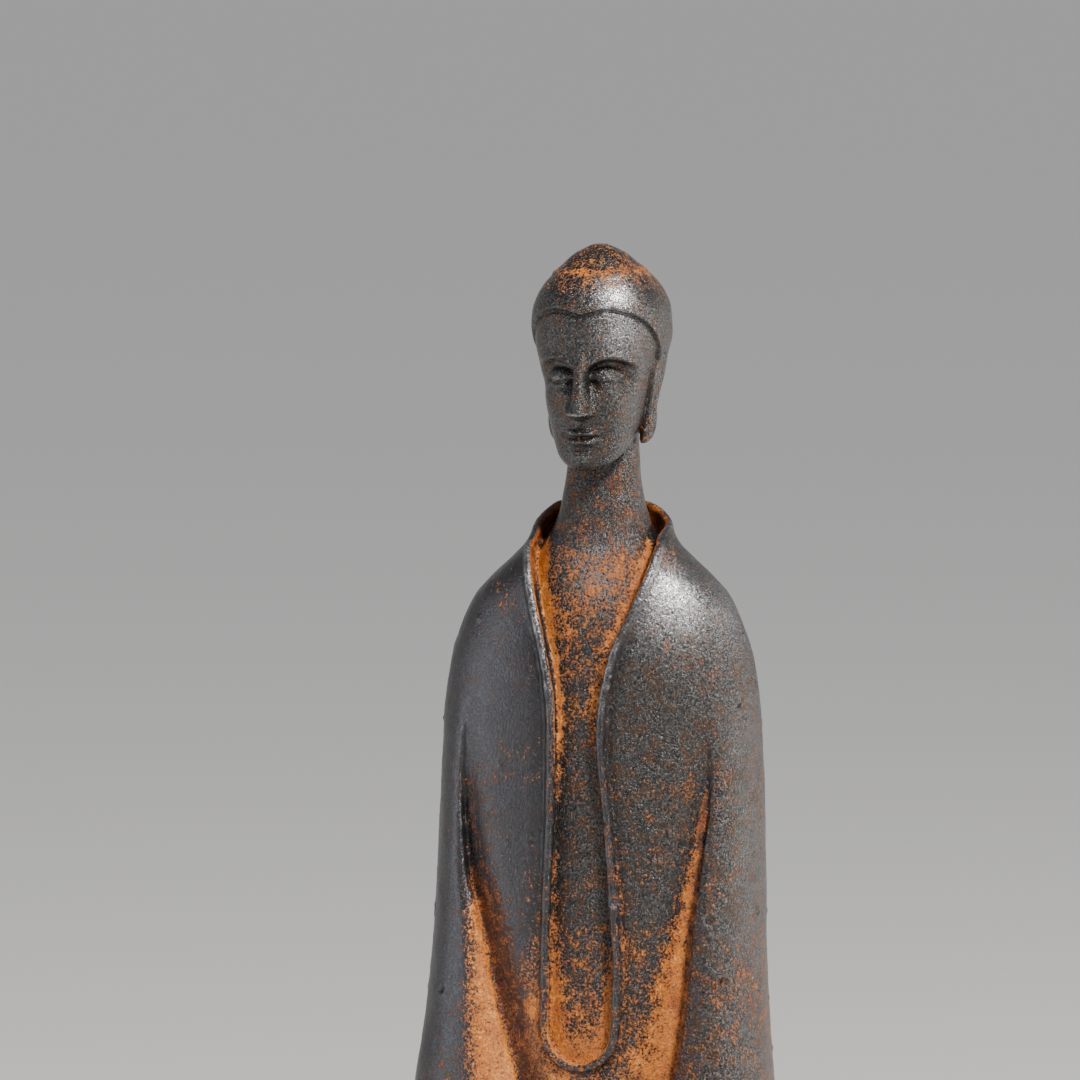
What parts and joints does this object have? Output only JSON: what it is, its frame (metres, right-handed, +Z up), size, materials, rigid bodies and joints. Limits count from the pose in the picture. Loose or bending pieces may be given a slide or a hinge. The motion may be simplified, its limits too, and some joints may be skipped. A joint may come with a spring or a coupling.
{
  "type": "iron buddha statue",
  "caption": "Slender standing buddha figure in a robe with rolled lapels and joined sleeves, cast in iron in one piece with its low oval base.",
  "frame": {"origin": "middle of the underside of the oval base", "axes": "+Z up through the head, the face towards -Y, +X towards the figure's left hand"},
  "size_m": [0.062, 0.05, 0.25],
  "materials": {
    "iron": "dark sand-cast iron, rubbed semi-gloss on the raised edges, orange rust in the recesses"
  },
  "bodies": {
    "root": {"buddha_statue": "iron"}
  },
  "joints": []
}
